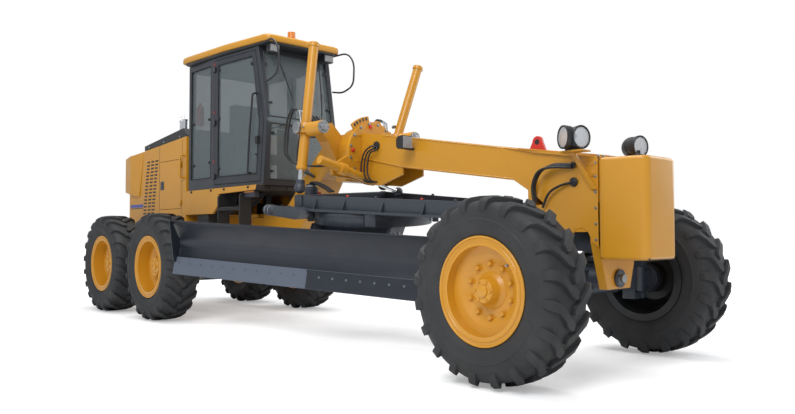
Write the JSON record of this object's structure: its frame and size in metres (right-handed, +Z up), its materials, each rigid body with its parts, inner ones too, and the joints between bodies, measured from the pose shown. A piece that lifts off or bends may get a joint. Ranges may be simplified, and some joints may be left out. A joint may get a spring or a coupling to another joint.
{
  "type": "motor grader",
  "caption": "Articulated motor grader with glazed cab, tandem drive wheels, drawbar, circle and long curved blade between the axles.",
  "frame": {"origin": "on the ground under the middle of the machine's bounding box", "axes": "+X forward, +Y left, +Z up"},
  "size_m": [8.965, 2.8322, 3.58],
  "materials": {
    "yellow_paint": "satin",
    "slate_paint": "satin",
    "black_paint": "satin",
    "tyre": "matte",
    "chrome": "polished",
    "glass": "gloss",
    "amber_glass": "gloss",
    "steel": "matte",
    "plastic": "matte",
    "seat_fabric": "woven",
    "lamp_glass": "gloss"
  },
  "bodies": {
    "rear_body": {"rear_frame": "black_paint", "hitch_pin": "steel", "rear_axle": "slate_paint", "tandem_cases": "yellow_paint", "engine": "steel", "engine_hood": "yellow_paint", "hood_cover": "yellow_paint", "radiator_guard": "yellow_paint", "exhaust_stack": "chrome", "cab_frame": "slate_paint", "cab_glass": "glass", "cab_roof": "yellow_paint", "beacon": "amber_glass", "cab_base": "yellow_paint", "operator_seat": "seat_fabric", "control_console": "plastic", "steering_wheel": "plastic", "steps": "black_paint"},
    "front_body": {"front_frame": "yellow_paint", "nose_box": "yellow_paint", "saddle": "yellow_paint", "front_axle": "slate_paint", "head_lamps": "lamp_glass", "lamp_arms": "yellow_paint"},
    "knuckle_right": {"knuckle_right": "steel"},
    "knuckle_left": {"knuckle_left": "steel"},
    "tie_rod": {"tie_rod": "steel"},
    "cab_door_right": {"cab_door_right": "slate_paint", "door_glass_right": "glass"},
    "cab_door_left": {"cab_door_left": "slate_paint", "door_glass_left": "glass"},
    "engine_door_right": {"engine_door_right": "yellow_paint"},
    "engine_door_left": {"engine_door_left": "yellow_paint"},
    "drawbar": {"drawbar": "slate_paint", "circle_drive": "slate_paint"},
    "circle": {"circle": "slate_paint"},
    "blade_carrier": {"blade_carrier": "slate_paint"},
    "blade": {"moldboard": "slate_paint", "cutting_edge": "steel"},
    "lift_barrel_right": {"lift_barrel_right": "yellow_paint"},
    "lift_rod_right": {"lift_rod_right": "chrome"},
    "lift_barrel_left": {"lift_barrel_left": "yellow_paint"},
    "lift_rod_left": {"lift_rod_left": "chrome"},
    "shift_barrel": {"shift_barrel": "yellow_paint"},
    "shift_rod": {"shift_rod": "chrome"},
    "wheel_front_right": {"tyre_front_right": "tyre", "rim_front_right": "yellow_paint"},
    "wheel_front_left": {"tyre_front_left": "tyre", "rim_front_left": "yellow_paint"},
    "wheel_mid_right": {"tyre_mid_right": "tyre", "rim_mid_right": "yellow_paint"},
    "wheel_mid_left": {"tyre_mid_left": "tyre", "rim_mid_left": "yellow_paint"},
    "wheel_rear_right": {"tyre_rear_right": "tyre", "rim_rear_right": "yellow_paint"},
    "wheel_rear_left": {"tyre_rear_left": "tyre", "rim_rear_left": "yellow_paint"}
  },
  "joints": [
    {"name": "articulation", "type": "hinge", "parent": "rear_body", "child": "front_body", "pos_m": [-0.872, 0.116, 1.12], "axis": [0, 0, -1], "range_deg": [-27, 27]},
    {"name": "steering", "type": "hinge", "parent": "front_body", "child": "knuckle_right", "pos_m": [3.797, -0.734, 0.67], "axis": [0, 0, 1], "range_deg": [-50, 50]},
    {"name": "steering_left", "type": "hinge", "parent": "front_body", "child": "knuckle_left", "pos_m": [3.797, 0.966, 0.67], "axis": [0, 0, 1], "range_deg": [-50, 50]},
    {"name": "tie_rod_pin", "type": "hinge", "parent": "knuckle_right", "child": "tie_rod", "pos_m": [3.577, -0.734, 0.56], "axis": [0, 0, -1], "range_deg": [-50, 50]},
    {"name": "roll_front_right", "type": "hinge", "parent": "knuckle_right", "child": "wheel_front_right", "pos_m": [3.797, -0.962, 0.67], "axis": [0, 1, 0], "continuous": true},
    {"name": "roll_front_left", "type": "hinge", "parent": "knuckle_left", "child": "wheel_front_left", "pos_m": [3.797, 1.194, 0.67], "axis": [0, 1, 0], "continuous": true},
    {"name": "roll_mid_right", "type": "hinge", "parent": "rear_body", "child": "wheel_mid_right", "pos_m": [-1.653, -0.962, 0.67], "axis": [0, 1, 0], "continuous": true},
    {"name": "roll_mid_left", "type": "hinge", "parent": "rear_body", "child": "wheel_mid_left", "pos_m": [-1.653, 1.194, 0.67], "axis": [0, 1, 0], "continuous": true},
    {"name": "roll_rear_right", "type": "hinge", "parent": "rear_body", "child": "wheel_rear_right", "pos_m": [-3.191, -0.962, 0.67], "axis": [0, 1, 0], "continuous": true},
    {"name": "roll_rear_left", "type": "hinge", "parent": "rear_body", "child": "wheel_rear_left", "pos_m": [-3.191, 1.194, 0.67], "axis": [0, 1, 0], "continuous": true},
    {"name": "cab_door_right_hinge", "type": "hinge", "parent": "rear_body", "child": "cab_door_right", "pos_m": [-1.21, -0.496, 2.48], "axis": [0, 0, -1], "range_deg": [0, 88]},
    {"name": "cab_door_left_hinge", "type": "hinge", "parent": "rear_body", "child": "cab_door_left", "pos_m": [-1.21, 0.728, 2.48], "axis": [0, 0, 1], "range_deg": [0, 88]},
    {"name": "engine_door_right_hinge", "type": "hinge", "parent": "rear_body", "child": "engine_door_right", "pos_m": [-2.116, -0.496, 1.76], "axis": [0, 0, 1], "range_deg": [0, 95]},
    {"name": "engine_door_left_hinge", "type": "hinge", "parent": "rear_body", "child": "engine_door_left", "pos_m": [-2.116, 0.728, 1.76], "axis": [0, 0, -1], "range_deg": [0, 95]},
    {"name": "drawbar_lift", "type": "hinge", "parent": "front_body", "child": "drawbar", "pos_m": [3.358, 0.116, 1.19], "axis": [0, -1, 0], "range_deg": [-2, 27]},
    {"name": "circle_turn", "type": "hinge", "parent": "drawbar", "child": "circle", "pos_m": [1.28602, 0.03423, 1.35319], "axis": [0.081, -0.0666, 0.9945], "range_deg": [-10, 100]},
    {"name": "blade_tip", "type": "hinge", "parent": "circle", "child": "blade_carrier", "pos_m": [1.42896, -0.53295, 0.69019], "axis": [0.9503, 0.306, -0.0569], "range_deg": [-10, 35]},
    {"name": "blade_shift", "type": "slide", "parent": "blade_carrier", "child": "blade", "axis": [0.9503, 0.306, -0.0569], "range_m": [-0.2, 0.5]},
    {"name": "lift_right_swing", "type": "hinge", "parent": "front_body", "child": "lift_barrel_right", "pos_m": [0.858, -0.534, 2.18], "axis": [0.807, -0.589, 0.0417], "range_deg": [-0.68, 5.49]},
    {"name": "lift_right_stroke", "type": "slide", "parent": "lift_barrel_right", "child": "lift_rod_right", "axis": [-0.021, -0.0992, -0.9949], "range_m": [-0.09071, 1.18703]},
    {"name": "lift_left_swing", "type": "hinge", "parent": "front_body", "child": "lift_barrel_left", "pos_m": [0.858, 0.766, 2.18], "axis": [0.9296, -0.3679, 0.0203], "range_deg": [-1.34, 14.35]},
    {"name": "lift_left_stroke", "type": "slide", "parent": "lift_barrel_left", "child": "lift_rod_left", "axis": [-0.0943, -0.2909, -0.9521], "range_m": [-0.09098, 1.19076]},
    {"name": "shift_swing", "type": "hinge", "parent": "front_body", "child": "shift_barrel", "pos_m": [1.25347, -0.35401, 1.73815], "axis": [-1, 0.0016, 0], "range_deg": [-3.67, 45.77]},
    {"name": "shift_stroke", "type": "slide", "parent": "shift_barrel", "child": "shift_rod", "axis": [0.0016, 0.9666, -0.2562], "range_m": [-0.04503, 0.57047]}
  ],
  "couplings": [
    {"joint": "steering_left", "follows": "steering", "ratio": 1},
    {"joint": "tie_rod_pin", "follows": "steering", "ratio": 1},
    {"joint": "lift_right_swing", "follows": "drawbar_lift", "ratio": 0.1921},
    {"joint": "lift_right_stroke", "follows": "drawbar_lift", "m_per_rad": 2.5126},
    {"joint": "lift_left_swing", "follows": "drawbar_lift", "ratio": 0.5204},
    {"joint": "lift_left_stroke", "follows": "drawbar_lift", "m_per_rad": 2.5205},
    {"joint": "shift_swing", "follows": "drawbar_lift", "ratio": 1.6842},
    {"joint": "shift_stroke", "follows": "drawbar_lift", "m_per_rad": 1.2042}
  ]
}
